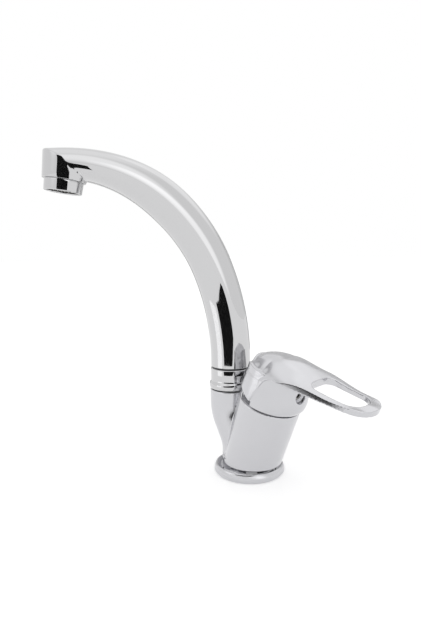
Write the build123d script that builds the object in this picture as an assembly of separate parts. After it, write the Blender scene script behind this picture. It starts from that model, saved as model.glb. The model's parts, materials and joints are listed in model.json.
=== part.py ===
"""Single-lever basin mixer: Y-shaped cast body, swivelling swan-neck spout, loop lever.

Millimetres and degrees. The origin is the centre of the base on the deck, +Z is up, the lever
points along +X and the spout stands on the boss at -X. The barrel leans towards the lever.
"""
from build123d import *
import math
import os

# Base and barrel
flange_radius = 25.0
flange_edge_height = 2.2
flange_foot_radius = 23.4
flange_bead_shoulder = 5.6
flange_join_radius = 23.0
flange_join_height = 7.2
foot_radius = 19.4
foot_height = 13.0
neck_radius = 20.5
neck_height = 8.0
barrel_tilt = 18.6
seam_distance = 57.8
barrel_radius = 21.5
seam_gap = 0.8
gasket_groove_inner = 18.2
gasket_groove_outer = 22.0
gasket_groove_depth = 2.4
inlet_x = 8.5
inlet_half_spacing = 8.2
inlet_thread_radius = 4.5
inlet_thread_depth = 14.0
stud_x = -11.0
stud_thread_radius = 3.4
stud_thread_depth = 16.0
passage_radius = 3.2

# Boss, collar and swivel
boss_x = -17.0
boss_radius = 14.7
boss_top = 57.7
arm_bend_top = 49.0
arm_bend_radius = 26.0
arm_bend_angle = 28.0
arm_straight = 10.9
boss_bore_floor = 34.0
boss_neck_radius = 12.5
boss_neck_top = 66.0
sleeve_radius = 10.0
sleeve_bore_radius = 7.4
sleeve_bottom = 38.5
sleeve_head_radius = 12.35
sleeve_head_length = 8.0
running_clearance = 0.05
lower_washer_thickness = 0.9
groove_inset = 0.8
collar_height = 14.5
collar_upper_radius = 14.25
collar_bulge_radius = 15.3
collar_bulge_height = 4.3
collar_relief = 0.35
collar_lip_thickness = 2.6
slide_ring_thickness = 1.0
clip_thickness = 1.4
clip_width = 2.6
clip_opening = 50.0
o_ring_section = 1.0
o_ring_squeeze = 0.15
o_ring_heights = (41.5, 47.5)
o_ring_groove_width = 2.6
guide_ring_bottom = 52.0
guide_ring_height = 6.0
guide_ring_thickness = 1.0

# Spout
spout_rest_turn = -123.3
spout_root_radius = 14.1
spout_wall = 2.0
spout_root_straight = 4.2
spout_bend_angles = (22.0, 27.5, 44.5)
last_bend_share = 0.8
tube_end_past = 3.3
tube_end_rise = 10.3
spout_end_height = 9.8
spout_end_width = 15.0
taper_start = 118.0
taper_end = 200.0
spout_root_lip = 2.0
station_spacing = 16.0
outlet_reach = 110.2
outlet_height = 201.9
outlet_tilt = 9.1
outlet_radius = 13.95
outlet_widening = 4.5
chamber_radius = 11.0
chamber_height = 15.0
aerator_thread_radius = 12.0
aerator_thread_depth = 8.1

# Aerator
aerator_drop = 7.4
aerator_top_radius = 12.5
aerator_bottom_radius = 12.15
aerator_mouth_radius = 10.3
aerator_insert_radius = 10.8
aerator_shoulder = 6.3
aerator_thread_height = 6.0
aerator_lip = 0.9
screen_thickness = 0.8
screen_pitch = 2.3
screen_hole = 1.7
cage_height = 6.0
cage_wall = 1.2
jet_plate_thickness = 2.0
jet_radius = 0.6
jet_ring_radii = (3.2, 6.2, 8.7)
jet_counts = (6, 12, 18)
washer_inner_radius = 8.6

# Cartridge, heights above the seam along the barrel axis
cartridge_radius = 17.4
cartridge_floor = -20.0
bore_clearance = 0.3
nut_bore_radius = 19.0
nut_bottom = -7.0
nut_top = -1.0
nut_inner_radius = 15.6
nut_slot_width = 4.0
nut_slot_depth = 2.2
nut_slot_count = 4
base_thickness = 7.0
disc_thickness = 3.5
fixed_disc_radius = 14.0
moving_disc_radius = 10.8
carrier_radius = 10.9
carrier_thickness = 3.0
rail_length = 12.0
rail_width = 10.0
rail_height = 1.8
housing_bore_radius = 14.2
housing_neck_radius = 15.3
housing_flange_thickness = 1.5
housing_top = 6.0
housing_lip_bottom = 2.8
bush_flange_radius = 14.0
bush_neck_radius = 11.0
bush_top = 8.4
glide_thickness = 0.5
pivot_height = 6.0
pivot_pin_radius = 1.5
stem_width = 8.0
stem_top = 26.0
stem_block_bottom = 1.5
stem_arm_radius = 1.9
stem_arm_length = 8.5
stem_foot_radius = 2.5
socket_radius = 2.65
socket_depth = 3.9
inlet_port_x = 4.0
inlet_port_y = 6.5
outlet_port_x = -8.0
port_radius = 3.0
seal_section = 0.8
slide_clearance = 0.1

# Dome ring that shows in the gap behind the handle
dome_ring_radius = 19.3
dome_ring_wall = 1.0
dome_ring_top = 7.4

# Handle, heights above the seam along the barrel axis
lift_range = 18.0
turn_range = 45.0
hood_foot_radius = 23.0
hood_back = (0.0, 21.9, 18.0, 87.0, 15.0, 30.6, 36.3)
hood_stations = (
    hood_back,
    (14.0, 22.4, 26.0, 60.0, 15.5, 31.9, 35.5),
    (24.0, 21.0, 29.7, 20.0, 13.0, 31.7, 33.6),
    (32.0, 19.8, 30.6, 5.0, 9.0, 31.3, 31.7),
    (58.8, 15.6, 31.8, 3.0, 8.0, 32.0, 32.1),
    (73.0, 13.4, 32.4, 3.0, 7.0, 32.6, 32.7),
)
hood_edge_x = -3.6
hood_edge_slope = 2.9
hood_edge_blend = 8.0
hood_rim_x = -1.5
hood_rim_height = 3.6
hood_rim_rise = 17.0
skirt_inner_radius = 19.7
skirt_front = 24.2
skirt_flare_height = 4.5
skirt_top = 26.0
void_wall_top = 20.0
void_top = 33.2
void_shoulder = (19.2, 27.0)
void_crown = 9.0
hub_radius = 8.0
hub_bottom = 12.6
socket_clearance = 0.1
socket_top = 27.0
lever_under_x = 12.0
lever_under_height = 25.0
lever_under_slope = 4.07
lever_end_x = 58.8
lever_end_half = 15.6
lever_tip_x = 71.0
slot_root_x = 30.0
slot_root_half = 13.4
slot_root_corner = 6.0
slot_end_x = 54.5
slot_end_half = 12.2
slot_tip_x = 64.0
screw_height = 15.5
screw_turn = -8.0
screw_radius = 2.5
screw_inner_x = 4.5
screw_length = 16.0
screw_socket = 3.0
screw_socket_depth = 3.0
screw_boss_radius = 5.0
recess_radius = 4.3
recess_floor_x = 21.2

# Space used for cutting solids, larger than any piece
reach = 300.0

# Frames
tilt = math.radians(barrel_tilt)
barrel_axis = Vector(math.sin(tilt), 0, math.cos(tilt))
barrel_across = Vector(math.cos(tilt), 0, -math.sin(tilt))
seam_plane = Plane(origin=barrel_axis * seam_distance, x_dir=barrel_across, z_dir=barrel_axis)
rest_turn = math.radians(spout_rest_turn)
spout_plane = Plane(
    origin=(boss_x, 0, 0),
    x_dir=(math.cos(rest_turn), math.sin(rest_turn), 0),
    z_dir=(0, 0, 1),
)
outlet_lean = math.radians(outlet_tilt)
outlet_plane = Plane(
    origin=(outlet_reach, 0, outlet_height),
    x_dir=(math.cos(outlet_lean), 0, math.sin(outlet_lean)),
    z_dir=(-math.sin(outlet_lean), 0, math.cos(outlet_lean)),
)
boss_axis = Location((boss_x, 0, 0))

# Heights of the swivel stack on the boss
collar_bottom = boss_top + lower_washer_thickness
collar_top = collar_bottom + collar_height
spout_root = collar_top + slide_ring_thickness + slide_clearance
collar_lip_bottom = collar_top - collar_lip_thickness

# Heights of the cartridge stack along the barrel axis
disc_floor = cartridge_floor + base_thickness
moving_disc_bottom = disc_floor + disc_thickness
carrier_bottom = moving_disc_bottom + disc_thickness
carrier_top = carrier_bottom + carrier_thickness
bush_bottom = carrier_top + slide_clearance


def turned(outline):
    """Solid turned about Z from an outline in the XZ plane, given as edges."""
    return revolve(Plane.XZ * make_face(outline), Axis.Z)


def ring(outer, inner, bottom, top):
    """Plain ring about Z between two heights."""
    height = top - bottom
    body = Pos(0, 0, bottom) * Cylinder(outer, height, align=(Align.CENTER, Align.CENTER, Align.MIN))
    hole = Pos(0, 0, bottom) * Cylinder(inner, height, align=(Align.CENTER, Align.CENTER, Align.MIN))
    return body - hole


def rod(radius, bottom, top, x=0.0, y=0.0):
    """Plain cylinder along Z."""
    height = top - bottom
    return Pos(x, y, bottom) * Cylinder(radius, height, align=(Align.CENTER, Align.CENTER, Align.MIN))


def block(low, high):
    """Box between two corners."""
    size = [b - a for a, b in zip(low, high)]
    middle = [(a + b) / 2 for a, b in zip(low, high)]
    return Pos(*middle) * Box(*size)


def on_barrel(shape):
    """Places a shape built about the seam centre on the leaning barrel."""
    return seam_plane.location * shape


def on_boss(shape):
    """Places a shape built about Z on the boss axis."""
    return boss_axis * shape


def on_spout(shape):
    """Places a shape built in the spout's own plane at its rest turn."""
    return spout_plane.location * shape


def on_outlet(shape):
    """Places a shape built about the outlet's axis."""
    return spout_plane.location * outlet_plane.location * shape


def drilled(start, end, radius):
    """Cylinder between two points."""
    run = Vector(*end) - Vector(*start)
    place = Plane(origin=start, z_dir=run)
    return place.location * Cylinder(radius, run.length, align=(Align.CENTER, Align.CENTER, Align.MIN))


def from_seam(x, y, height):
    """Global point of a place given across, along and above the seam."""
    return barrel_axis * (seam_distance + height) + barrel_across * x + Vector(0, y, 0)


def flange():
    """Round foot: a bead that runs up into the neck in one hollow curve."""
    edge = (flange_radius, flange_edge_height)
    shoulder = (flange_radius, flange_bead_shoulder)
    join = (flange_join_radius, flange_join_height)
    hollow_share = 1.4
    hollow = [b + hollow_share * (b - a) for a, b in zip(shoulder, join)]
    top = (foot_radius, foot_height)
    outline = [
        Line((0, 0), (flange_foot_radius, 0)),
        Line((flange_foot_radius, 0), edge),
        Bezier(edge, shoulder, join),
        Bezier(join, hollow, top),
        Line(top, (0, foot_height)),
        Line((0, foot_height), (0, 0)),
    ]
    return turned(outline)


def barrel():
    """Leaning barrel between the upright neck and the seam."""
    neck = barrel_axis * (neck_height / barrel_axis.Z)
    foot = Plane(origin=neck, z_dir=(0, 0, 1)) * Circle(neck_radius)
    top = seam_plane.offset(-seam_gap / 2) * Circle(barrel_radius)
    return loft([foot, top])


def arm():
    """Boss arm: upright under the collar, drawn inwards by two bends, upright into the flange."""
    turn = math.radians(arm_bend_angle)
    half = turn / 2
    drop, shift = math.sin(turn) * arm_bend_radius, (1 - math.cos(turn)) * arm_bend_radius
    mid_drop, mid_shift = math.sin(half) * arm_bend_radius, (1 - math.cos(half)) * arm_bend_radius
    start = Vector(boss_x, 0, arm_bend_top)
    first = start + Vector(shift, 0, -drop)
    second = first + Vector(math.sin(turn), 0, -math.cos(turn)) * arm_straight
    end = second + Vector(shift, 0, -drop)
    path = Wire([
        Line((boss_x, 0, boss_top), start),
        ThreePointArc(start, start + Vector(mid_shift, 0, -mid_drop), first),
        Line(first, second),
        ThreePointArc(second, end + Vector(-mid_shift, 0, mid_drop), end),
        Line(end, (end.X, 0, flange_edge_height)),
    ])
    section = Plane(origin=(boss_x, 0, boss_top), z_dir=(0, 0, -1)) * Circle(boss_radius)
    return sweep(section, path)


def body_casting():
    """Flange, barrel and boss in one casting, with its bores and water ways."""
    solid = flange() + barrel() + arm()
    relief = ring(collar_bulge_radius + collar_relief, boss_neck_radius, boss_top, boss_neck_top)
    solid = solid - on_boss(relief) + on_boss(rod(boss_neck_radius, boss_top - 1, boss_neck_top))
    solid -= on_boss(rod(sleeve_radius + running_clearance, boss_bore_floor, boss_neck_top + 1))
    cartridge_bore = rod(cartridge_radius + bore_clearance, cartridge_floor, seam_gap)
    nut_bore = rod(nut_bore_radius, nut_bottom, seam_gap)
    solid -= on_barrel(cartridge_bore + nut_bore)
    solid -= ring(gasket_groove_outer, gasket_groove_inner, 0, gasket_groove_depth)
    solid -= rod(stud_thread_radius, 0, stud_thread_depth, stud_x)
    for side in (-1, 1):
        y = side * inlet_half_spacing
        solid -= rod(inlet_thread_radius, 0, inlet_thread_depth, inlet_x, y)
        port = from_seam(inlet_port_x, side * inlet_port_y, cartridge_floor + 1)
        solid -= drilled((inlet_x, y, inlet_thread_depth - 1), port, passage_radius)
    outlet_port = from_seam(outlet_port_x, 0, cartridge_floor + 1)
    bore_side = Vector(boss_x + sleeve_radius / 2, 0, boss_bore_floor + passage_radius + 1)
    return solid - drilled(outlet_port, bore_side, passage_radius)


def base_gasket():
    """Rubber ring in the groove under the flange, level with the deck."""
    inner = gasket_groove_inner + slide_clearance
    outer = gasket_groove_outer - slide_clearance
    return ring(outer, inner, 0, gasket_groove_depth)


def collar_washer():
    """Dark washer under the collar."""
    outer = boss_radius - groove_inset
    inner = boss_neck_radius + running_clearance
    return on_boss(ring(outer, inner, boss_top, collar_bottom))


def spout_collar():
    """Threaded collar that holds the spout down: low bulge, small step, plain upper band."""
    bulge_top = collar_bottom + collar_bulge_height
    step_top = bulge_top + 2 * (collar_bulge_radius - collar_upper_radius)
    bore = boss_neck_radius + running_clearance
    lip_bore = sleeve_radius + 4 * running_clearance
    outline = [
        Line((bore, collar_bottom), (boss_radius, collar_bottom)),
        ThreePointArc(
            (boss_radius, collar_bottom),
            (collar_bulge_radius, collar_bottom + collar_bulge_height * 0.55),
            (collar_bulge_radius - 0.15, bulge_top),
        ),
        Line((collar_bulge_radius - 0.15, bulge_top), (collar_upper_radius, step_top)),
        Line((collar_upper_radius, step_top), (collar_upper_radius, collar_top)),
        Line((collar_upper_radius, collar_top), (lip_bore, collar_top)),
        Line((lip_bore, collar_top), (lip_bore, collar_lip_bottom)),
        Line((lip_bore, collar_lip_bottom), (bore, collar_lip_bottom)),
        Line((bore, collar_lip_bottom), (bore, collar_bottom)),
    ]
    return on_boss(turned(outline))


def slide_ring():
    """Dark slide ring between collar and spout."""
    outer = collar_upper_radius - groove_inset
    inner = sleeve_radius + 2 * running_clearance
    return on_boss(ring(outer, inner, collar_top, collar_top + slide_ring_thickness))


def clip_groove_bottom():
    """Height of the clip's groove: just under the collar's lip."""
    return collar_lip_bottom - slide_clearance - clip_thickness


def spout_sleeve():
    """Turned brass shank: grooves for its seals, guide and clip, a head inside the tube."""
    head_bottom = spout_root + spout_root_lip
    head_top = head_bottom + sleeve_head_length
    solid = rod(sleeve_radius, sleeve_bottom, head_bottom)
    solid += rod(sleeve_head_radius, head_bottom, head_top)
    solid -= rod(sleeve_bore_radius, sleeve_bottom - 1, head_top + 1)
    half_groove = o_ring_groove_width / 2
    for height in o_ring_heights:
        solid -= ring(sleeve_radius + 1, o_ring_floor(), height - half_groove, height + half_groove)
    guide_floor = sleeve_radius - guide_ring_thickness
    solid -= ring(sleeve_radius + 1, guide_floor, guide_ring_bottom, guide_ring_bottom + guide_ring_height)
    clip_floor = sleeve_radius - clip_width / 2
    clip_bottom = clip_groove_bottom()
    solid -= ring(sleeve_radius + 1, clip_floor, clip_bottom, clip_bottom + clip_thickness)
    return on_boss(solid)


def o_ring_floor():
    """Radius of the sleeve under its seals."""
    return sleeve_radius - 2 * o_ring_section + o_ring_squeeze


def sleeve_o_rings():
    """Two rubber rings in the sleeve's grooves, squeezed flat inside and outside."""
    outer = sleeve_radius + running_clearance / 2
    inner = o_ring_floor() + running_clearance / 2
    band = ring(outer, inner, -o_ring_section, o_ring_section)
    seal = Torus((outer + inner) / 2, o_ring_section) & band
    return on_boss(Compound(children=[Pos(0, 0, height) * seal for height in o_ring_heights]))


def guide_ring():
    """Acetal guide ring that centres the sleeve in the boss."""
    inner = sleeve_radius - guide_ring_thickness
    top = guide_ring_bottom + guide_ring_height - slide_clearance
    return on_boss(ring(sleeve_radius + running_clearance / 2, inner, guide_ring_bottom, top))


def retaining_clip():
    """Open spring clip in the sleeve's top groove."""
    inner = sleeve_radius - clip_width / 2
    outer = inner + clip_width
    bottom = clip_groove_bottom()
    solid = ring(outer, inner, bottom, bottom + clip_thickness)
    half = math.radians(clip_opening / 2)
    far = 2 * outer
    gap = Polygon((0, 0), (far * math.cos(half), far * math.sin(half)),
                  (far * math.cos(half), -far * math.sin(half)), align=None)
    return on_boss(solid - extrude(Plane.XY.offset(bottom - 1) * gap, clip_thickness + 2))


def spout_bends():
    """Radius and angle of each bend, so that the centreline ends above the outlet."""
    headings = [math.radians(sum(spout_bend_angles[:i])) for i in range(len(spout_bend_angles) + 1)]
    shares = (1.0, 1.0, last_bend_share)
    across = [share * (math.cos(a) - math.cos(b)) for share, a, b in zip(shares, headings, headings[1:])]
    up = [share * (math.sin(b) - math.sin(a)) for share, a, b in zip(shares, headings, headings[1:])]
    far = outlet_reach + tube_end_past
    high = outlet_height + tube_end_rise - spout_root - spout_root_straight
    scale = across[0] * sum(up[1:]) - up[0] * sum(across[1:])
    first = (far * sum(up[1:]) - high * sum(across[1:])) / scale
    later = (across[0] * high - up[0] * far) / scale
    radii = (first, later, later * last_bend_share)
    return list(zip(radii, [math.radians(angle) for angle in spout_bend_angles]))


def spout_run(distance):
    """Place and heading of the spout's centreline at a distance from its root."""
    r, z, heading = 0.0, spout_root, 0.0
    step = min(distance, spout_root_straight)
    z += step
    distance -= step
    for radius, angle in spout_bends():
        turn = min(distance / radius, angle)
        r += radius * (math.cos(heading) - math.cos(heading + turn))
        z += radius * (math.sin(heading + turn) - math.sin(heading))
        heading += turn
        distance -= radius * turn
    return r + distance * math.sin(heading), z + distance * math.cos(heading), heading


def bends_length():
    """Length of the centreline from the root to the end of the last bend."""
    return spout_root_straight + sum(radius * angle for radius, angle in spout_bends())


def spout_section(distance, inset):
    """Oval section of the spout, round at the root, low and wide at the head."""
    share = min(max((distance - taper_start) / (taper_end - taper_start), 0), 1)
    blend = share * share * (3 - 2 * share)
    height = spout_root_radius + (spout_end_height - spout_root_radius) * blend - inset
    width = spout_root_radius + (spout_end_width - spout_root_radius) * blend - inset
    r, z, heading = spout_run(distance)
    under = (math.cos(heading), 0, -math.sin(heading))
    place = Plane(origin=(r, 0, z), x_dir=under, z_dir=(math.sin(heading), 0, math.cos(heading)))
    return place * Ellipse(height, width)


def spout_tube_run(inset, start, overrun):
    """Loft through the oval sections from the root to the head, then straight on."""
    end = bends_length()
    count = round((end - start) / station_spacing)
    distances = [start + (end - start) * i / count for i in range(count + 1)]
    curve = loft([spout_section(distance, inset) for distance in distances])
    r, z, heading = spout_run(end)
    along = (math.sin(heading), 0, math.cos(heading))
    return curve + extrude(spout_section(end, inset), overrun, dir=along)


def spout_tube():
    """Swan-neck tube with its outlet head, hollow from the root to the outlet."""
    bend_r, bend_z, heading = spout_run(bends_length())
    head_height = 1.8 * (bend_z - outlet_height)
    top_radius = outlet_radius + head_height * math.tan(math.radians(outlet_widening))
    cone = outlet_plane.location * Cone(
        outlet_radius, top_radius, head_height, align=(Align.CENTER, Align.CENTER, Align.MIN))
    overrun = 2 * outlet_radius
    tube = spout_tube_run(0, 0, overrun)
    axis_r = outlet_reach - (bend_z - outlet_height) * math.tan(outlet_lean)
    below = block((-reach, -reach, -reach), (reach, reach, bend_z))
    before = block((-reach, -reach, -reach), (axis_r, reach, reach))
    solid = (tube & before) + (tube & cone) + (cone & below)
    bore_start = spout_root_lip
    cavity = spout_tube_run(spout_wall, bore_start, axis_r - bend_r + chamber_radius / 2)
    chamber = outlet_plane.location * rod(chamber_radius, 0, chamber_height)
    thread = outlet_plane.location * rod(aerator_thread_radius, -1, aerator_thread_depth)
    socket = rod(sleeve_head_radius + running_clearance / 2, spout_root + spout_root_lip,
                 spout_root + spout_root_lip + sleeve_head_length)
    entry = rod(sleeve_radius + running_clearance / 2, spout_root - 1, spout_root + spout_root_lip + 1)
    solid -= cavity
    solid -= chamber
    solid -= thread
    solid -= socket
    solid -= entry
    return on_spout(solid)


def aerator_ring():
    """Chrome aerator housing: thread inside the head, slightly conical ring below it."""
    thread = aerator_thread_radius - running_clearance
    bottom = -aerator_drop
    bore = aerator_insert_radius + running_clearance
    outline = [
        Line((aerator_mouth_radius, bottom), (aerator_bottom_radius - aerator_lip, bottom)),
        ThreePointArc(
            (aerator_bottom_radius - aerator_lip, bottom),
            (aerator_bottom_radius - 0.26 * aerator_lip, bottom + 0.26 * aerator_lip),
            (aerator_bottom_radius, bottom + aerator_lip),
        ),
        Line((aerator_bottom_radius, bottom + aerator_lip), (aerator_top_radius, 0)),
        Line((aerator_top_radius, 0), (thread, 0)),
        Line((thread, 0), (thread, aerator_thread_height)),
        Line((thread, aerator_thread_height), (bore, aerator_thread_height)),
        Line((bore, aerator_thread_height), (bore, -aerator_shoulder)),
        Line((bore, -aerator_shoulder), (aerator_mouth_radius, -aerator_shoulder)),
        Line((aerator_mouth_radius, -aerator_shoulder), (aerator_mouth_radius, bottom)),
    ]
    return on_outlet(turned(outline))


def aerator_screen():
    """Square-mesh outlet screen on the housing's shoulder."""
    bottom = -aerator_shoulder
    disc = rod(aerator_insert_radius, bottom, bottom + screen_thickness)
    count = int(aerator_mouth_radius / screen_pitch)
    free = aerator_mouth_radius - screen_hole / 2
    holes = [
        block((i * screen_pitch - screen_hole / 2, j * screen_pitch - screen_hole / 2, bottom - 1),
              (i * screen_pitch + screen_hole / 2, j * screen_pitch + screen_hole / 2, bottom + 2))
        for i in range(-count, count + 1)
        for j in range(-count, count + 1)
        if math.hypot(i, j) * screen_pitch < free
    ]
    return on_outlet(disc - holes)


def aerator_cage():
    """Plastic cage above the screen: an open ring with a cross."""
    bottom = -aerator_shoulder + screen_thickness
    top = bottom + cage_height
    solid = ring(aerator_insert_radius, aerator_insert_radius - cage_wall, bottom, top)
    span = aerator_insert_radius - cage_wall / 2
    half = cage_wall / 2
    solid += block((-span, -half, bottom), (span, half, bottom + cage_height / 2))
    solid += block((-half, -span, bottom), (half, span, bottom + cage_height / 2))
    return on_outlet(solid)


def jet_plate():
    """Perforated plate that splits the water above the cage."""
    bottom = -aerator_shoulder + screen_thickness + cage_height
    top = bottom + jet_plate_thickness
    solid = rod(aerator_insert_radius, bottom, top)
    holes = [
        rod(jet_radius, bottom - 1, top + 1, radius * math.cos(angle), radius * math.sin(angle))
        for radius, count in zip(jet_ring_radii, jet_counts)
        for angle in [2 * math.pi * k / count for k in range(count)]
    ]
    return on_outlet(solid - holes)


def aerator_washer():
    """Rubber washer between the aerator's thread and the head's shoulder."""
    outer = aerator_thread_radius - slide_clearance
    return on_outlet(ring(outer, washer_inner_radius, aerator_thread_height, aerator_thread_depth))


def port_places():
    """Two inlets towards the lever, one outlet towards the boss."""
    return ((inlet_port_x, inlet_port_y), (inlet_port_x, -inlet_port_y), (outlet_port_x, 0))


def cartridge_base():
    """Ported plastic base of the cartridge, with seal grooves on both faces."""
    top = nut_bottom - housing_flange_thickness
    solid = rod(cartridge_radius, cartridge_floor, top)
    solid -= rod(housing_bore_radius, disc_floor, top + 1)
    for x, y in port_places():
        solid -= rod(port_radius, cartridge_floor - 1, disc_floor + 1, x, y)
        for low, high in ((cartridge_floor, cartridge_floor + 2 * seal_section),
                          (disc_floor - 2 * seal_section, disc_floor)):
            solid -= Pos(x, y, 0) * rod(port_radius + 2 * seal_section, low, high)
    return on_barrel(solid)


def seals_at(height):
    """Three rubber rings round the ports at one height."""
    middle = port_radius + seal_section
    rings = [Pos(x, y, height) * Torus(middle, seal_section) for x, y in port_places()]
    return on_barrel(Compound(children=rings))


def port_seals():
    """Seals between the cartridge base and the floor of its bore."""
    return seals_at(cartridge_floor + seal_section)


def disc_seals():
    """Seals between the cartridge base and the fixed disc."""
    return seals_at(disc_floor - seal_section)


def fixed_disc():
    """Ceramic disc with the three ports."""
    solid = rod(fixed_disc_radius, disc_floor, moving_disc_bottom)
    for x, y in port_places():
        solid -= rod(port_radius - seal_section, disc_floor - 1, moving_disc_bottom + 1, x, y)
    return on_barrel(solid)


def moving_disc():
    """Ceramic disc with the mixing pocket in its lower face."""
    pocket_depth = disc_thickness / 2
    solid = rod(moving_disc_radius, moving_disc_bottom, carrier_bottom)
    span = moving_disc_radius - 2 * seal_section
    pocket = block((-span / 2, -port_radius, moving_disc_bottom - 1),
                   (span / 2, port_radius, moving_disc_bottom + pocket_depth))
    return on_barrel(solid - pocket)


def disc_carrier():
    """Carrier on the moving disc, with the rail and the socket for the stem's foot."""
    solid = rod(carrier_radius, carrier_bottom, carrier_top)
    rail_top = carrier_top + rail_height
    half_rail = rail_width / 2 - slide_clearance
    solid += block((-rail_length / 2, -half_rail, carrier_top - 1), (rail_length / 2, half_rail, rail_top))
    return on_barrel(solid - rod(socket_radius, rail_top - socket_depth, rail_top + 1))


def cartridge_housing():
    """Cartridge shell: flange under the nut, neck, and the lip that holds the bush."""
    bottom = nut_bottom - housing_flange_thickness
    solid = rod(cartridge_radius, bottom, nut_bottom) + rod(housing_neck_radius, nut_bottom, housing_top)
    solid -= rod(housing_bore_radius, bottom - 1, housing_lip_bottom)
    return on_barrel(solid - rod(bush_neck_radius + slide_clearance, nut_bottom, housing_top + 1))


def bush_glide():
    """Acetal glide washer between the bush and the housing's lip."""
    top = housing_lip_bottom
    return on_barrel(ring(bush_flange_radius, bush_neck_radius + slide_clearance, top - glide_thickness, top))


def turning_bush():
    """Bush that turns with the handle and carries the stem's pivot."""
    flange_top = housing_lip_bottom - glide_thickness - slide_clearance
    solid = rod(bush_flange_radius, bush_bottom, flange_top)
    solid += rod(bush_neck_radius, flange_top, bush_top)
    channel_top = carrier_top + rail_height + slide_clearance
    half_rail = rail_width / 2
    channel = block((-bush_flange_radius - 1, -half_rail, bush_bottom - 1),
                    (bush_flange_radius + 1, half_rail, channel_top))
    half_stem = stem_width / 2 + socket_clearance
    lift = math.radians(lift_range)
    above = half_stem / math.cos(lift) + (bush_top - pivot_height) * math.tan(lift)
    below = half_stem * math.cos(lift) + (pivot_height - stem_block_bottom) * math.sin(lift)
    swing = max(above, below) + slide_clearance
    well = block((-swing, -half_stem, bush_bottom - 1), (swing, half_stem, bush_top + 1))
    pin_hole = Pos(0, 0, pivot_height) * Rot(90, 0, 0) * Cylinder(pivot_pin_radius, 2 * bush_neck_radius)
    return on_barrel(solid - channel - well - pin_hole)


def pivot_pin():
    """Cross pin through bush and stem."""
    length = 2 * (bush_neck_radius - 1)
    return on_barrel(Pos(0, 0, pivot_height) * Rot(90, 0, 0) * Cylinder(pivot_pin_radius, length))


def stem():
    """Lever stem: square shank in the handle, round arm and foot in the disc carrier."""
    half = stem_width / 2
    foot = pivot_height - stem_arm_length
    solid = block((-half, -half, stem_block_bottom), (half, half, stem_top))
    solid += rod(stem_arm_radius, foot, stem_block_bottom + 1)
    solid += Pos(0, 0, foot) * Sphere(stem_foot_radius)
    pin_bore = Cylinder(pivot_pin_radius + running_clearance, 2 * stem_width)
    return on_barrel(solid - Pos(0, 0, pivot_height) * Rot(90, 0, 0) * pin_bore)


def cartridge_nut():
    """Brass nut that clamps the cartridge, with spanner slots in its top."""
    solid = ring(nut_bore_radius - slide_clearance, nut_inner_radius, nut_bottom, nut_top)
    slot = block((nut_inner_radius + 1.4, -nut_slot_width / 2, nut_top - nut_slot_depth),
                 (nut_bore_radius + 1, nut_slot_width / 2, nut_top + 1))
    for k in range(nut_slot_count):
        solid -= Rot(0, 0, 360 * k / nut_slot_count) * slot
    return on_barrel(solid)


def dome_ring():
    """Chrome zone of a ball about the lift pivot, seated on the nut."""
    centre = Pos(0, 0, pivot_height)
    inner_radius = dome_ring_radius - dome_ring_wall
    shell = centre * Sphere(dome_ring_radius) - centre * Sphere(inner_radius)
    solid = shell & rod(dome_ring_radius + 1, nut_top, dome_ring_top)
    lip = ring(inner_radius + dome_ring_wall / 2, housing_neck_radius + bore_clearance,
               dome_ring_top - dome_ring_wall, dome_ring_top)
    return on_barrel(solid + lip)


def hood_edge(station):
    """Right half of a hood section: upright wall, then one curve over the middle to the ridge."""
    x, half_width, edge, lean, middle, middle_height, ridge = station
    rise = math.radians(lean)
    start = (-math.cos(rise), math.sin(rise))
    wall = Line((hood_foot_radius, seam_gap / 2), (half_width, edge))
    points = ((half_width, edge), (middle, middle_height), (0, ridge))
    return wall, Spline(*points, tangents=(start, (-1, 0)))


def hood_section(station):
    """Whole hood section across the lever at its station."""
    wall, crown = hood_edge(station)
    half = [wall, crown]
    foot = Line((-hood_foot_radius, seam_gap / 2), (hood_foot_radius, seam_gap / 2))
    face = make_face([foot] + half + [mirror(edge, Plane.YZ) for edge in half])
    place = Plane(origin=(station[0], 0, 0), x_dir=(0, 1, 0), z_dir=(1, 0, 0))
    return place * face


def lever_underside(x):
    """Height of the lever's lower face above the seam."""
    return lever_under_height + (x - lever_under_x) * math.tan(math.radians(lever_under_slope))


def arch_cut():
    """Side arch under the hood: leaning front edge, blend, then the lever's underside."""
    low = -2 * seam_gap
    foot_x = hood_edge_x + low / hood_edge_slope
    slope = math.tan(math.radians(lever_under_slope))
    rise = lever_under_height - slope * lever_under_x
    corner_x = (hood_edge_x + rise / hood_edge_slope) / (1 - slope / hood_edge_slope)
    corner = (corner_x, lever_underside(corner_x))
    far_x = lever_tip_x + hood_foot_radius
    outline = Polyline((foot_x, low), corner, (far_x, lever_underside(far_x)), (far_x, low), close=True)
    face = make_face(outline)
    blended = fillet(face.vertices().sort_by_distance(corner)[0], hood_edge_blend)
    return extrude(Plane.XZ * blended, 2 * hood_foot_radius, both=True)


def rim_cut():
    """Wedge under the back of the hood that lets the handle lift."""
    back = -1.5 * hood_foot_radius
    rise = (hood_rim_x - back) * math.tan(math.radians(hood_rim_rise))
    outline = Polygon((hood_rim_x, 0), (hood_rim_x, hood_rim_height), (back, hood_rim_height + rise),
                      (back, 0), align=None)
    return extrude(Plane.XZ * outline, 2 * hood_foot_radius, both=True)


def tip_outline():
    """Plan that closes the lever with a half ellipse."""
    back = -2 * hood_foot_radius
    half = hood_foot_radius + 1
    tip = EllipticalCenterArc((lever_end_x, 0), lever_tip_x - lever_end_x, lever_end_half, -90, arc_size=180)
    sides = Polyline((lever_end_x, lever_end_half), (lever_end_x, half), (back, half), (back, -half),
                     (lever_end_x, -half), (lever_end_x, -lever_end_half))
    return make_face([tip, sides])


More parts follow.
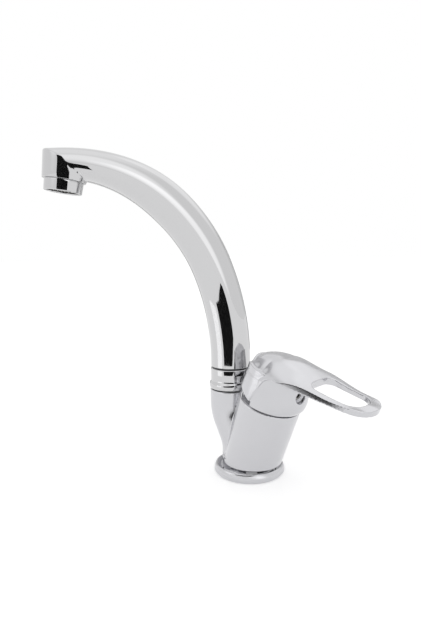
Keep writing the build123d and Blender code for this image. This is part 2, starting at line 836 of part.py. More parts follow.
def slot_outline():
    """Plan of the finger slot: rounded root corners, straight sides, elliptical end."""
    end = EllipticalCenterArc((slot_end_x, 0), slot_tip_x - slot_end_x, slot_end_half, -90, arc_size=180)
    sides = Polyline((slot_end_x, slot_end_half), (slot_root_x, slot_root_half),
                     (slot_root_x, -slot_root_half), (slot_end_x, -slot_end_half))
    face = make_face([end, sides])
    corners = face.vertices().group_by(Axis.X)[0]
    return fillet(corners, slot_root_corner)


def hood():
    """Domed cap, round behind the axis and drawn out into the flat lever in front of it."""
    wall, crown = hood_edge(hood_back)
    foot = Line((0, seam_gap / 2), (hood_foot_radius, seam_gap / 2))
    ridge = Line((0, hood_back[6]), (0, seam_gap / 2))
    behind = revolve(Plane.XZ * make_face([foot, wall, crown, ridge]), Axis.Z)
    behind &= block((-reach, -reach, -reach), (0, reach, reach))
    front = loft([hood_section(station) for station in hood_stations])
    return behind + (front & extrude(tip_outline(), 2 * hood_back[6]))


def skirt():
    """Skirt under the hood: round at the seam, drawn out in front for the screw."""
    bottom = seam_gap / 2
    foot = Plane.XY.offset(bottom) * Circle(barrel_radius)
    belly = [
        Plane.XY.offset(height) * Ellipse(skirt_front, barrel_radius)
        for height in (skirt_flare_height, skirt_top / 2, skirt_top)
    ]
    front = block((0, -reach, -reach), (reach, reach, reach))
    return rod(barrel_radius, bottom, skirt_top) + (loft([foot] + belly) & front)


def handle_void():
    """Space inside the hood over the cartridge."""
    outline = [
        Line((0, -seam_gap), (skirt_inner_radius, -seam_gap)),
        Line((skirt_inner_radius, -seam_gap), (skirt_inner_radius, void_wall_top)),
        Bezier((skirt_inner_radius, void_wall_top), void_shoulder, (void_crown, void_top), (0, void_top)),
        Line((0, void_top), (0, -seam_gap)),
    ]
    return turned(outline)


def on_screw(shape):
    """Places a shape built about Z on the handle screw's axis."""
    turn = math.radians(screw_turn)
    return Plane(origin=(0, 0, screw_height), z_dir=(math.cos(turn), math.sin(turn), 0)).location * shape


def lever_handle():
    """Handle: hood, loop lever and skirt in one casting, hollow, with hub and screw boss."""
    solid = hood() - arch_cut() + skirt() - handle_void()
    solid += rod(hub_radius, hub_bottom, void_top + 1)
    solid += on_screw(rod(screw_boss_radius, hub_radius - 1, (skirt_inner_radius + skirt_front) / 2))
    solid -= on_screw(rod(screw_radius + running_clearance, 0, 2 * skirt_front))
    solid -= on_screw(rod(recess_radius, recess_floor_x, 2 * skirt_front))
    half = stem_width / 2 + socket_clearance
    solid -= block((-half, -half, hub_bottom - 1), (half, half, socket_top))
    solid -= extrude(Plane.XY * slot_outline(), 2 * hood_back[6])
    return on_barrel(solid - rim_cut())


def handle_screw():
    """Grub screw with a hex socket, tip on the stem."""
    end = screw_inner_x + screw_length
    solid = rod(screw_radius, screw_inner_x, end)
    flats = RegularPolygon(screw_socket / 2, 6, major_radius=False)
    socket = extrude(Plane.XY.offset(end - screw_socket_depth) * flats, screw_socket_depth + 1)
    return on_barrel(on_screw(solid - socket))


makers = (
    body_casting, base_gasket, collar_washer, spout_collar, slide_ring, spout_sleeve, sleeve_o_rings,
    guide_ring, retaining_clip, spout_tube, aerator_ring, aerator_screen, aerator_cage, jet_plate,
    aerator_washer, cartridge_base, port_seals, disc_seals, fixed_disc, moving_disc, disc_carrier,
    cartridge_housing, bush_glide, turning_bush, pivot_pin, stem, cartridge_nut, dome_ring,
    lever_handle, handle_screw,
)

os.makedirs("parts", exist_ok=True)
nodes = {maker.__name__: maker() for maker in makers}
for name, shape in nodes.items():
    export_step(shape, os.path.join("parts", name + ".step"))
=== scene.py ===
# Basin mixer with a swan-neck spout: chrome skin over the solids, for one photograph.
import json
import math

import bmesh
import bpy
from mathutils import Matrix, Vector

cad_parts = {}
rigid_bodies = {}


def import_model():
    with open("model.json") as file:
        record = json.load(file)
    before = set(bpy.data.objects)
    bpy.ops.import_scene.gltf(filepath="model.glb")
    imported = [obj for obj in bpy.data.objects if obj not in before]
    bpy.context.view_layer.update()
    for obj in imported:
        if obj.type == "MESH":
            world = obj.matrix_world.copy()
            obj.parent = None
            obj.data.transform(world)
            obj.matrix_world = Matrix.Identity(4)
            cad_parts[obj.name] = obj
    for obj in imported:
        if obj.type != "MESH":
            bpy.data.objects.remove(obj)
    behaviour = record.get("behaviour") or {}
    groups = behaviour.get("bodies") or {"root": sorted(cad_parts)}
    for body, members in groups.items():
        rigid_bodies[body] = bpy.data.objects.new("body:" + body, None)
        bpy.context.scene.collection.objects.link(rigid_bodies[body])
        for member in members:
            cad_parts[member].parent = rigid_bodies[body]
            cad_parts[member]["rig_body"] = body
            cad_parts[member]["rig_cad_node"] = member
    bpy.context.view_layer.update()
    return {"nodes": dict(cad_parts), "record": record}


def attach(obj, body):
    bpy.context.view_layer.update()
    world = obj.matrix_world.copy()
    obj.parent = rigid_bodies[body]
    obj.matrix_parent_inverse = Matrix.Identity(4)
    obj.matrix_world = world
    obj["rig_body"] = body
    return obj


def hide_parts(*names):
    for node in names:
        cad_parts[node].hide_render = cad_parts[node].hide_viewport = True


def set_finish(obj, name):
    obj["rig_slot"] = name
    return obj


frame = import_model()

# Sizes are in millimetres and angles in degrees, unless a line says otherwise
mm = 0.001
ring_segments = 96
crease_angle = 40.0
seam_merge = 0.001

# Spout: its centreline, from the boss to the outlet
boss_x = -17.0
spout_rest_turn = -123.3
spout_root = 74.2
spout_root_straight = 4.2
spout_bend_angles = (22.0, 27.5, 44.5)
last_bend_share = 0.8
tube_end_past = 3.3
tube_end_rise = 10.3

# Spout: its section, round at the root, then low, wide and fuller at the head
spout_root_radius = 14.1
spout_end_height = 9.8
spout_end_width = 14.7
spout_end_fullness = 2.4
taper_start = 118.0
taper_end = 200.0
ring_spacing = 4.0
head_ring_count = 8
crossing_steps = 40

# Outlet head, its bore and its edges
outlet_reach = 110.2
outlet_height = 201.9
outlet_tilt = 9.1
outlet_radius = 13.95
outlet_widening = 4.5
outlet_bore = 12.05
outlet_bore_depth = 8.1
head_edge_round = 1.3
head_edge_share = 0.3
thin_edge_round = 0.3
thin_edge_middle = 0.08
quarters = (0.25, 0.5, 0.75)

# Castings: how finely each is remeshed, and how much it is polished
casting_voxel = 0.45
casting_passes = 6
lever_voxel = 0.38
lever_passes = 4
polish_factor = 0.5
solid_merge = 0.005
press_fade = 3.0

# Hood, rounded over by listed presses: point, radius, shift and lowest height reached
hood_presses = (
    ((7, -8, 86), 13, (0.8, 0.5, -3.4), 74),
    ((24, 1, 91), 20, (0, 0, -2.0), 84.5),
    ((33, 5, 88), 13, (0, 0, -0.9), 81),
    ((49, 14, 78), 13, (0, 0, 0.9), 68),
)

# Solids that show in the gap under the hood, where they look like the castings
under_hood = ("cartridge_nut", "dome_ring")

# Photograph: image size and focal length in pixels, and the camera's place and directions
photo_width = 421
photo_height = 631
focal_pixels = 545.48
camera_place = Vector((235.6, -290.0, 158.8))
camera_forward = Vector((-0.6786, 0.7238, -0.1252))
camera_up = Vector((-0.0771, 0.0994, 0.9921))
sensor_width = 36.0
clip_near = 10.0
clip_far = 20000.0

# Studio: a floor, and a white room that is a little dimmer as light than it looks
floor_size = 12000.0
floor_glow = 0.42
room_light = 0.8

# Soft patches of the room, as azimuth, height, gain, inner and outer angle
studio_patches = (
    (-28, 32, 0.34, 8, 30),
    (-14, 8, 0.45, 5, 20),
    (0, 90, 0.20, 10, 42),
    (88, 45, 0.24, 12, 28),
    (-95, 28, 0.18, 8, 24),
    (98, 8, -0.16, 10, 28),
)

# Cards round the boss, and one round the head; each row is a height and the angles it spans
card_columns = 24
boss_axis = (boss_x, 0, 0)
front_card_radius = 110.0
front_flag_rows = (
    (55, -85, -40),
    (68, -87, -34),
    (78, -87, -27.5),
    (85, -86, -27),
    (93, -68, -27),
    (105, -54, -27.5),
    (113, -45, -29),
    (121, -37, -32),
)
left_strip_rows = ((50, -124, -97), (66, -124, -97), (80, -124, -97))
head_axis = (-77.5, -92.1, 0)
head_card_radius = 42.0
head_flag_rows = (
    (184, -66, -13),
    (203, -66, -13),
    (208, -66, -25),
    (214, -66, -32),
    (226, -66, -36),
    (236, -48, -38),
)
rear_card_radius = 500.0
rear_card_rows = ((2, 92, 170), (330, 92, 170))

# Name, axis, radius, rows, colour and glow of each card
studio_cards = (
    ("front_flag", boss_axis, front_card_radius, front_flag_rows, "#080808", 0.0),
    ("head_flag", head_axis, head_card_radius, head_flag_rows, "#080808", 0.0),
    ("left_strip", boss_axis, front_card_radius, left_strip_rows, "#FFFFFF", 0.8),
    ("rear_card", boss_axis, rear_card_radius, rear_card_rows, "#DCDCDC", 0.14),
)


# Selecting and shaping
def deselect():
    """Leaves object mode with nothing selected."""
    if bpy.context.mode != "OBJECT":
        bpy.ops.object.mode_set(mode="OBJECT")
    bpy.ops.object.select_all(action="DESELECT")


def edit(piece):
    """Starts editing one piece with all of its mesh selected."""
    deselect()
    piece.select_set(True)
    bpy.context.view_layer.objects.active = piece
    bpy.ops.object.mode_set(mode="EDIT")
    bpy.ops.mesh.select_mode(type="VERT")
    bpy.ops.mesh.select_all(action="SELECT")


def move_selected(piece, points):
    """Moves the selected vertices, in their order round the ring, to these points in metres."""
    shape = bmesh.from_edit_mesh(piece.data)
    chosen = [v for v in shape.verts if v.select]
    for vertex, point in zip(chosen, points):
        vertex.co = point
    bmesh.update_edit_mesh(piece.data)


def ring_skin(name, rings):
    """Closed skin through rings of points: a disc extruded from ring to ring, then capped."""
    deselect()
    bpy.ops.mesh.primitive_circle_add(vertices=len(rings[0]))
    piece = bpy.context.object
    piece.name = name
    edit(piece)
    move_selected(piece, rings[0])
    bpy.ops.mesh.edge_face_add()
    bpy.ops.mesh.select_all(action="SELECT")
    for ring in rings[1:]:
        bpy.ops.mesh.extrude_region_move()
        move_selected(piece, ring)
    bpy.ops.mesh.select_all(action="DESELECT")
    bpy.ops.mesh.select_non_manifold()
    bpy.ops.mesh.edge_face_add()
    bpy.ops.mesh.select_all(action="SELECT")
    bpy.ops.mesh.normals_make_consistent(inside=False)
    bpy.ops.object.mode_set(mode="OBJECT")
    return piece


def turned(name, profile, place):
    """Turned piece: a profile of (radius, height) points spun round the upright axis."""
    deselect()
    bpy.ops.mesh.primitive_plane_add(size=mm)
    piece = bpy.context.object
    piece.name = name
    edit(piece)
    bpy.ops.mesh.merge(type="CENTER")
    points = [Vector((radius * mm, 0, height * mm)) for radius, height in profile]
    bpy.ops.transform.translate(value=points[0])
    for start, end in zip(points, points[1:] + points[:1]):
        bpy.ops.mesh.extrude_region_move(TRANSFORM_OT_translate={"value": end - start})
    bpy.ops.mesh.select_all(action="SELECT")
    bpy.ops.mesh.spin(steps=ring_segments, angle=math.tau, center=(0, 0, 0), axis=(0, 0, 1))
    bpy.ops.mesh.select_all(action="SELECT")
    bpy.ops.mesh.remove_doubles(threshold=seam_merge * mm)
    bpy.ops.mesh.normals_make_consistent(inside=False)
    bpy.ops.object.mode_set(mode="OBJECT")
    piece.data.transform(place)
    return piece


def smooth(piece):
    """Smooth shading, with edges over the crease angle kept sharp."""
    deselect()
    piece.select_set(True)
    bpy.context.view_layer.objects.active = piece
    bpy.ops.object.shade_smooth_by_angle(angle=math.radians(crease_angle))


def finished(piece, body, finish, *nodes):
    """Hands a finished chrome piece to its body, in its finish, in place of its nodes."""
    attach(piece, body)
    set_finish(piece, "chrome")
    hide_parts(*nodes)
    piece.data.materials.clear()
    piece.data.materials.append(materials[finish])


def ease(share):
    """Share from 0 to 1, eased at both ends."""
    return share * share * (3 - 2 * share)


# Colours and shader nodes
def linear(hex_colour):
    """Linear colour of an sRGB hex value."""
    parts = [int(hex_colour[i:i + 2], 16) / 255 for i in (1, 3, 5)]
    curve = [c / 12.92 if c <= 0.04045 else ((c + 0.055) / 1.055) ** 2.4 for c in parts]
    return (*curve, 1.0)


def add_node(tree, kind, settings=None, **sockets):
    """Adds a node; a socket, by its name or as n and its number, takes a value or an output."""
    new = tree.nodes.new(kind)
    for key, value in (settings or {}).items():
        setattr(new, key, value)
    for key, value in sockets.items():
        numbered = key[0] == "n" and key[1:].isdigit()
        socket = new.inputs[int(key[1:]) if numbered else key.replace("_", " ")]
        if isinstance(value, bpy.types.NodeSocket):
            tree.links.new(value, socket)
        else:
            socket.default_value = value
    return new


def new_material(name):
    """New material, with its nodes, its Principled shader and places on the object."""
    material = bpy.data.materials.new(name)
    material.use_nodes = True
    tree = material.node_tree
    shader = tree.nodes["Principled BSDF"]
    place = add_node(tree, "ShaderNodeTexCoord").outputs["Object"]
    return material, tree, shader, place


def rough_between(tree, shader, place, low, high, grain):
    """Roughness that wanders between two values over patches of this size in millimetres."""
    patches = add_node(tree, "ShaderNodeTexNoise", Vector=place, Scale=1 / (grain * mm), Detail=3.0)
    spread = add_node(tree, "ShaderNodeMapRange", Value=patches.outputs["Fac"], From_Min=0.3,
                      From_Max=0.7, To_Min=low, To_Max=high)
    tree.links.new(spread.outputs["Result"], shader.inputs["Roughness"])


def ripple(tree, shader, place, grain, depth):
    """Shallow bumps of this size and depth in millimetres."""
    waves = add_node(tree, "ShaderNodeTexNoise", Vector=place, Scale=1 / (grain * mm), Detail=2.0)
    height = waves.outputs["Fac"]
    bump = add_node(tree, "ShaderNodeBump", Strength=1.0, Distance=depth * mm, Height=height)
    tree.links.new(bump.outputs["Normal"], shader.inputs["Normal"])


def chrome(name, colour, low, high):
    """Chrome plate: a mirror with a slight polishing wave, blurred by how rough its ground is."""
    material, tree, shader, place = new_material(name)
    shader.inputs["Base Color"].default_value = linear(colour)
    shader.inputs["Metallic"].default_value = 1.0
    rough_between(tree, shader, place, low, high, grain=9.0)
    ripple(tree, shader, place, grain=7.0, depth=0.004)
    return material


def machined_brass():
    """Turned brass, bare: yellow metal with fine tool marks that blur its shine."""
    material, tree, shader, place = new_material("machined_brass")
    shader.inputs["Base Color"].default_value = linear("#C9A65A")
    shader.inputs["Metallic"].default_value = 1.0
    rough_between(tree, shader, place, low=0.22, high=0.34, grain=3.0)
    ripple(tree, shader, place, grain=0.6, depth=0.01)
    return material


def stainless_steel():
    """Rolled and stamped stainless steel: grey metal, softer shine than the chrome."""
    material, tree, shader, place = new_material("stainless_steel")
    shader.inputs["Base Color"].default_value = linear("#A9A8A4")
    shader.inputs["Metallic"].default_value = 1.0
    rough_between(tree, shader, place, low=0.18, high=0.30, grain=1.5)
    ripple(tree, shader, place, grain=0.5, depth=0.01)
    return material


def nitrile_rubber():
    """Moulded nitrile rubber: soft black, barely shiny, with a fine grain."""
    material, tree, shader, place = new_material("nitrile_rubber")
    shader.inputs["Base Color"].default_value = linear("#1B1B1C")
    rough_between(tree, shader, place, low=0.55, high=0.75, grain=1.5)
    ripple(tree, shader, place, grain=0.8, depth=0.02)
    return material


def moulded_plastic(name, colour, low, high):
    """Moulded acetal or similar: even colour, satin skin with slight flow marks."""
    material, tree, shader, place = new_material(name)
    shader.inputs["Base Color"].default_value = linear(colour)
    shader.inputs["IOR"].default_value = 1.48
    rough_between(tree, shader, place, low, high, grain=4.0)
    ripple(tree, shader, place, grain=1.2, depth=0.01)
    return material


def alumina():
    """Lapped alumina ceramic: white, dense, with a glassy flat face."""
    material, tree, shader, place = new_material("lapped_alumina")
    shader.inputs["Base Color"].default_value = linear("#EDEBE4")
    shader.inputs["IOR"].default_value = 1.76
    rough_between(tree, shader, place, low=0.10, high=0.20, grain=2.0)
    return material


materials = {
    "chrome": chrome("bright_chrome_plate", "#C7C7C8", 0.03, 0.06),
    "satin_chrome": chrome("chrome_on_casting", "#C9C9CC", 0.17, 0.24),
    "plain_brass": machined_brass(),
    "stainless": stainless_steel(),
    "black_rubber": nitrile_rubber(),
    "dark_acetal": moulded_plastic("dark_acetal", "#2E2F33", 0.35, 0.5),
    "white_acetal": moulded_plastic("white_acetal", "#E8E7E1", 0.3, 0.45),
    "grey_plastic": moulded_plastic("grey_nylon", "#8C8F93", 0.4, 0.55),
    "pale_plastic": moulded_plastic("pale_acetal", "#D9D8D0", 0.35, 0.5),
    "ceramic": alumina(),
}


def paint_solids():
    """Gives each solid the material of its slot, and the castings' finish to what is under the hood."""
    for entry in frame["record"]["subparts"]:
        slot = entry["material_slot"]
        finish = "satin_chrome" if entry["node"] in under_hood else slot
        solid = frame["nodes"][entry["node"]]
        solid.data.materials.clear()
        solid.data.materials.append(materials[finish])
        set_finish(solid, slot)


# Swan-neck spout, worked out in its own plane: r outwards, y to the side, z up
def bend_radii():
    """Radii of the bends, so that the centreline ends above the outlet."""
    headings = [math.radians(sum(spout_bend_angles[:i])) for i in range(4)]
    shares = (1.0, 1.0, last_bend_share)
    across = [s * (math.cos(a) - math.cos(b)) for s, a, b in zip(shares, headings, headings[1:])]
    up = [s * (math.sin(b) - math.sin(a)) for s, a, b in zip(shares, headings, headings[1:])]
    far = outlet_reach + tube_end_past
    high = outlet_height + tube_end_rise - spout_root - spout_root_straight
    scale = across[0] * sum(up[1:]) - up[0] * sum(across[1:])
    first = (far * sum(up[1:]) - high * sum(across[1:])) / scale
    later = (across[0] * high - up[0] * far) / scale
    return first, later, later * last_bend_share


def centreline(distance):
    """Place and heading of the spout's centreline at a distance from its root."""
    r, z, heading = 0.0, spout_root, 0.0
    step = min(distance, spout_root_straight)
    z += step
    distance -= step
    for radius, angle in zip(bend_radii(), spout_bend_angles):
        turn = min(distance / radius, math.radians(angle))
        r += radius * (math.cos(heading) - math.cos(heading + turn))
        z += radius * (math.sin(heading + turn) - math.sin(heading))
        heading += turn
        distance -= radius * turn
    return r + distance * math.sin(heading), z + distance * math.cos(heading), heading


def fuller(value, power):
    """Cosine or sine of an ellipse's angle, pushed out towards a square."""
    return math.copysign(abs(value) ** (2 / power), value)


def tube_point(distance, angle):
    """Point of the tube's skin: round at the root, low, wide and fuller at the head."""
    share = min(max((distance - taper_start) / (taper_end - taper_start), 0), 1)
    blend = ease(share)
    high = spout_root_radius + (spout_end_height - spout_root_radius) * blend
    wide = spout_root_radius + (spout_end_width - spout_root_radius) * blend
    power = 2 + (spout_end_fullness - 2) * blend
    r, z, heading = centreline(distance)
    lift = high * fuller(math.sin(angle), power)
    side = wide * fuller(math.cos(angle), power)
    return Vector((r - lift * math.cos(heading), side, z + lift * math.sin(heading)))


lean = math.radians(outlet_tilt)
outlet_centre = Vector((outlet_reach, 0, outlet_height))
outlet_axis = Vector((-math.sin(lean), 0, math.cos(lean)))
outlet_out = Vector((math.cos(lean), 0, math.sin(lean)))


def head_height(point):
    """Height of a point above the outlet, along the outlet's axis."""
    return (point - outlet_centre).dot(outlet_axis)


def head_radius(height):
    """Radius of the head, which widens upwards."""
    return outlet_radius + height * math.tan(math.radians(outlet_widening))


def outside_head(point):
    """How far a point stands outside the head's skin."""
    height = head_height(point)
    return (point - outlet_centre - outlet_axis * height).length - head_radius(height)


def past_axis(point):
    """How far a point lies beyond the head's axis."""
    return (point - outlet_centre).dot(outlet_out)


def crossing(test, angle, near, far):
    """Distance along the tube at which the test's sign changes."""
    start = test(tube_point(near, angle)) > 0
    for _ in range(crossing_steps):
        middle = (near + far) / 2
        if (test(tube_point(middle, angle)) > 0) == start:
            near = middle
        else:
            far = middle
    return (near + far) / 2


def crease_distance(angle):
    """Distance at which a line along the tube meets the head: its front for the top, its back below."""
    length = spout_root_straight + sum(
        radius * math.radians(turn) for radius, turn in zip(bend_radii(), spout_bend_angles))
    middle = crossing(past_axis, angle, length - 2 * outlet_radius, length + 2 * outlet_radius)
    if outside_head(tube_point(middle, angle)) > 0:
        return middle
    if math.sin(angle) >= 0:
        return crossing(outside_head, angle, middle, middle + 2 * outlet_radius)
    return crossing(outside_head, angle, middle, middle - 2 * outlet_radius)


def head_point(angle_round, height, inset=0.0):
    """Point of the head's skin at an angle round its axis and a height above the outlet."""
    radius = head_radius(height) - inset
    forward = outlet_out * (radius * math.cos(angle_round))
    sideways = Vector((0, radius * math.sin(angle_round), 0))
    return outlet_centre + outlet_axis * height + (forward + sideways)


def corner(start, middle, end, share):
    """Point along a rounded corner."""
    return start * (1 - share) ** 2 + middle * (2 * share * (1 - share)) + end * share ** 2


def tube_rings(angles, head_start):
    """Rings of the tube, from its rounded root to where the head begins."""
    stations = round(head_start / ring_spacing)
    inset = (spout_root_radius - thin_edge_round) / spout_root_radius
    root = Vector((0, 0, spout_root))
    rings = [[root + (tube_point(0, angle) - root) * inset for angle in angles]]
    for i in range(stations + 1):
        distance = head_start * i / stations + (thin_edge_round if i == 0 else 0)
        rings.append([tube_point(distance, angle) for angle in angles])
    return rings


def head_rings(angles, creases, rounds, head_start):
    """Rings from where the head begins to the rounded edge before its crease."""
    rings = []
    for i in range(1, head_ring_count + 1):
        share = i / head_ring_count
        rings.append([
            tube_point(head_start + (crease - edge - head_start) * share, angle)
            for angle, crease, edge in zip(angles, creases, rounds)
        ])
    return rings


def outlet_rings(above, edges, rounds):
    """Rings over the head's rounded edge, down its skin, round its lip and up its bore."""
    heights = [head_height(edge) for edge in edges]
    turns = [math.atan2(edge.y, past_axis(edge)) for edge in edges]
    below = [head_point(turn, height - edge) for turn, height, edge in zip(turns, heights, rounds)]
    rings = []
    for share in quarters:
        rings.append([corner(*points, share) for points in zip(above, edges, below)])
    rings.append(below)
    for share in reversed(quarters):
        rings.append([
            head_point(turn, thin_edge_round + (height - edge - thin_edge_round) * share)
            for turn, height, edge in zip(turns, heights, rounds)
        ])
    bore_inset = outlet_radius - outlet_bore
    lip = (
        (thin_edge_round, 0),
        (thin_edge_middle, thin_edge_middle),
        (0, thin_edge_round),
        (0, bore_inset),
        (outlet_bore_depth, bore_inset),
    )
    for height, inset in lip:
        rings.append([head_point(turn, height, inset) for turn in turns])
    return rings


def spout_rings():
    """Rings of the spout's skin from the root, over the head's crease, into the outlet."""
    angles = [math.tau * i / ring_segments for i in range(ring_segments)]
    creases = [crease_distance(angle) for angle in angles]
    head_start = min(creases) - ring_spacing
    rounds = [min(head_edge_round, head_edge_share * (crease - head_start)) for crease in creases]
    edges = [tube_point(crease, angle) for angle, crease in zip(angles, creases)]
    rings = tube_rings(angles, head_start) + head_rings(angles, creases, rounds, head_start)
    return rings + outlet_rings(rings[-1], edges, rounds)


def spout_frame():
    """Matrix from the spout's own plane, in millimetres, to the mixer's frame, in metres."""
    turn = Matrix.Rotation(math.radians(spout_rest_turn), 4, "Z")
    return Matrix.Translation((boss_x * mm, 0, 0)) @ turn @ Matrix.Scale(mm, 4)


def swan_neck_spout():
    """Chrome spout in one skin, with its outlet head."""
    place = spout_frame()
    piece = ring_skin("swan_neck_spout", [[place @ point for point in ring] for ring in spout_rings()])
    smooth(piece)
    finished(piece, "spout", "chrome", "spout_tube")


def aerator_housing():
    """Turned chrome ring under the head."""
    profile = [
        (10.3, -6.6), (10.3, -7.15), (10.45, -7.35), (10.7, -7.4), (11.7, -7.4), (11.98, -7.3),
        (12.12, -7.05), (12.15, -6.7), (12.3, -4.0), (12.42, -1.5), (12.47, -0.3), (12.35, -0.05),
        (12.1, 0.0), (11.9, 0.1), (11.9, 6.0), (10.9, 6.0), (10.9, -6.3),
    ]
    out = Matrix.Rotation(-lean, 4, "Y")
    place = spout_frame() @ Matrix.Translation(outlet_centre) @ out @ Matrix.Scale(1 / mm, 4)
    piece = turned("aerator_housing", profile, place)
    smooth(piece)
    finished(piece, "spout", "chrome", "aerator_ring")


def swivel_collar():
    """Turned chrome collar: low bulge below, plain band above."""
    profile = [
        (12.7, 58.6), (14.6, 58.6), (14.85, 58.75), (15.1, 59.3), (15.26, 60.2), (15.3, 61.2),
        (15.18, 62.2), (14.85, 63.1), (14.45, 63.7), (14.27, 64.3), (14.25, 65.2), (14.25, 68.0),
        (14.25, 72.5), (14.15, 72.9), (13.9, 73.1), (12.7, 73.1),
    ]
    piece = turned("swivel_collar", profile, Matrix.Translation((boss_x * mm, 0, 0)))
    smooth(piece)
    finished(piece, "base", "chrome", "spout_collar")


# Castings: the solid's own shape, with its edges softened as by polishing
def polished_casting(name, node, voxel, passes):
    """Copy of a solid, merged, remeshed evenly and smoothed at its edges."""
    deselect()
    source = frame["nodes"][node]
    piece = source.copy()
    piece.data = source.data.copy()
    piece.name = name
    piece.parent = None
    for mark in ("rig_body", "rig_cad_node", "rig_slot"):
        if mark in piece:
            del piece[mark]
    bpy.context.scene.collection.objects.link(piece)
    edit(piece)
    bpy.ops.mesh.remove_doubles(threshold=solid_merge * mm)
    bpy.ops.object.mode_set(mode="OBJECT")
    even = piece.modifiers.new("even", "REMESH")
    even.mode = "VOXEL"
    even.voxel_size = voxel * mm
    even.use_smooth_shade = True
    polish = piece.modifiers.new("polish", "SMOOTH")
    polish.factor = polish_factor
    polish.iterations = passes
    bpy.ops.object.modifier_apply(modifier="even")
    bpy.ops.object.modifier_apply(modifier="polish")
    bpy.ops.object.shade_smooth()
    return piece


def press(piece, centre, radius, shift, lowest):
    """Shifts the wall round a point, fading out at the radius and down to the lowest height."""
    middle = Vector(centre) * mm
    push = Vector(shift) * mm
    for vertex in piece.data.vertices:
        near = 1 - (vertex.co - middle).length / (radius * mm)
        if near > 0 and vertex.co.z > lowest * mm:
            fade = min((vertex.co.z / mm - lowest) / press_fade, 1)
            vertex.co += push * fade * ease(near)


def mixer_body():
    """Foot, leaning barrel and spout boss in one polished casting."""
    piece = polished_casting("mixer_body", "body_casting", casting_voxel, casting_passes)
    finished(piece, "base", "satin_chrome", "body_casting")


def loop_lever():
    """Hood, skirt and loop lever in one polished casting."""
    piece = polished_casting("loop_lever", "lever_handle", lever_voxel, lever_passes)
    for hood_press in hood_presses:
        press(piece, *hood_press)
    finished(piece, "handle", "satin_chrome", "lever_handle")


# Studio
def floor():
    """Pale floor: white to the eye and in the chrome, but it keeps the shadow."""
    deselect()
    bpy.ops.mesh.primitive_plane_add(size=floor_size * mm)
    piece = bpy.context.object
    piece.name = "floor"
    material = bpy.data.materials.new("white_paper_floor")
    material.use_nodes = True
    tree = material.node_tree
    tree.nodes.clear()
    seen = add_node(tree, "ShaderNodeLightPath").outputs
    in_view = add_node(tree, "ShaderNodeMath", {"operation": "MAXIMUM"}, n0=seen["Is Camera Ray"],
                       n1=seen["Is Glossy Ray"]).outputs[0]
    paper = add_node(tree, "ShaderNodeBsdfDiffuse", Color=linear("#EDEDED"))
    lift = add_node(tree, "ShaderNodeMath", {"operation": "MULTIPLY"}, n0=in_view, n1=floor_glow)
    glow = add_node(tree, "ShaderNodeEmission", Color=linear("#FFFFFF"), Strength=lift.outputs[0])
    both = add_node(tree, "ShaderNodeAddShader", n0=paper.outputs[0], n1=glow.outputs[0])
    add_node(tree, "ShaderNodeOutputMaterial", Surface=both.outputs[0])
    piece.data.materials.append(material)


def soft_patch(tree, direction, azimuth, height, gain, inner, outer):
    """Soft round patch of the room, brighter or dimmer by the gain."""
    turn, rise = math.radians(azimuth), math.radians(height)
    aim = (math.cos(turn) * math.cos(rise), math.sin(turn) * math.cos(rise), math.sin(rise))
    facing = add_node(tree, "ShaderNodeVectorMath", {"operation": "DOT_PRODUCT"}, n0=direction, n1=aim)
    patch = add_node(tree, "ShaderNodeMapRange", {"interpolation_type": "SMOOTHSTEP"},
                     Value=facing.outputs["Value"], From_Min=math.cos(math.radians(outer)),
                     From_Max=math.cos(math.radians(inner)), To_Min=0.0, To_Max=gain)
    return patch.outputs["Result"]


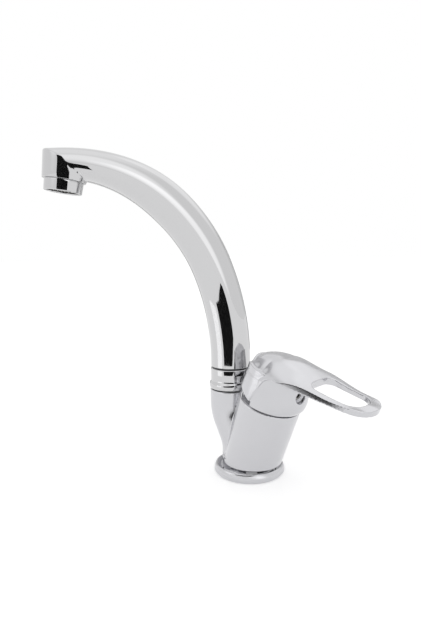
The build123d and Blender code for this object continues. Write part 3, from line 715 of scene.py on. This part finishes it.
def studio_world():
    """White studio: plain white to the eye, softly uneven in the chrome, a little dimmer as light."""
    world = bpy.data.worlds.new("white_studio")
    bpy.context.scene.world = world
    world.use_nodes = True
    tree = world.node_tree
    tree.nodes.clear()
    seen = add_node(tree, "ShaderNodeLightPath").outputs
    direction = add_node(tree, "ShaderNodeTexCoord").outputs["Generated"]
    total = 1.0
    for azimuth, height, gain, inner, outer in studio_patches:
        patch = soft_patch(tree, direction, azimuth, height, gain, inner, outer)
        total = add_node(tree, "ShaderNodeMath", {"operation": "ADD"}, n0=total, n1=patch).outputs[0]
    in_metal = add_node(tree, "ShaderNodeMath", {"operation": "MAXIMUM"}, n0=seen["Is Glossy Ray"],
                        n1=seen["Is Transmission Ray"]).outputs[0]
    unseen = add_node(tree, "ShaderNodeMapRange", Value=in_metal, To_Min=room_light,
                      To_Max=total).outputs["Result"]
    strength = add_node(tree, "ShaderNodeMapRange", Value=seen["Is Camera Ray"], To_Min=unseen,
                        To_Max=1.0).outputs["Result"]
    sky = add_node(tree, "ShaderNodeBackground", Color=linear("#FFFFFF"), Strength=strength)
    add_node(tree, "ShaderNodeOutputWorld", Surface=sky.outputs[0])


def curved_card(name, axis, radius, rows, colour, glow):
    """Card curved round an upright axis, which only reflections see."""
    deselect()
    bpy.ops.mesh.primitive_grid_add(x_subdivisions=card_columns, y_subdivisions=len(rows) - 1,
                                    size=1.0)
    piece = bpy.context.object
    piece.name = name
    for vertex in piece.data.vertices:
        height, low, high = rows[round((vertex.co.y + 0.5) * (len(rows) - 1))]
        angle = math.radians(low + (high - low) * (vertex.co.x + 0.5))
        side = Vector((radius * math.cos(angle), radius * math.sin(angle), height))
        vertex.co = (Vector(axis) + side) * mm
    material = bpy.data.materials.new(name + "_face")
    material.use_nodes = True
    shader = material.node_tree.nodes["Principled BSDF"]
    shader.inputs["Base Color"].default_value = linear(colour)
    shader.inputs["Roughness"].default_value = 1.0
    shader.inputs["Emission Color"].default_value = linear("#FFFFFF")
    shader.inputs["Emission Strength"].default_value = glow
    piece.data.materials.append(material)
    piece.visible_camera = False
    piece.visible_diffuse = False
    piece.visible_shadow = False


def photo_camera():
    """Camera at the photograph's place; the long side of the frame takes the sensor."""
    data = bpy.data.cameras.new("photo_camera")
    data.sensor_width = sensor_width
    data.lens = focal_pixels / max(photo_width, photo_height) * sensor_width
    data.clip_start = clip_near * mm
    data.clip_end = clip_far * mm
    camera = bpy.data.objects.new("photo_camera", data)
    bpy.context.scene.collection.objects.link(camera)
    forward = camera_forward.normalized()
    right = forward.cross(camera_up).normalized()
    up = right.cross(forward)
    turn = Matrix((right, up, -forward)).transposed().to_4x4()
    camera.matrix_world = Matrix.Translation(camera_place * mm) @ turn
    bpy.context.scene.camera = camera


paint_solids()
swan_neck_spout()
aerator_housing()
swivel_collar()
mixer_body()
loop_lever()

floor()
studio_world()
for card in studio_cards:
    curved_card(*card)
photo_camera()

bpy.context.scene.view_settings.view_transform = "Standard"
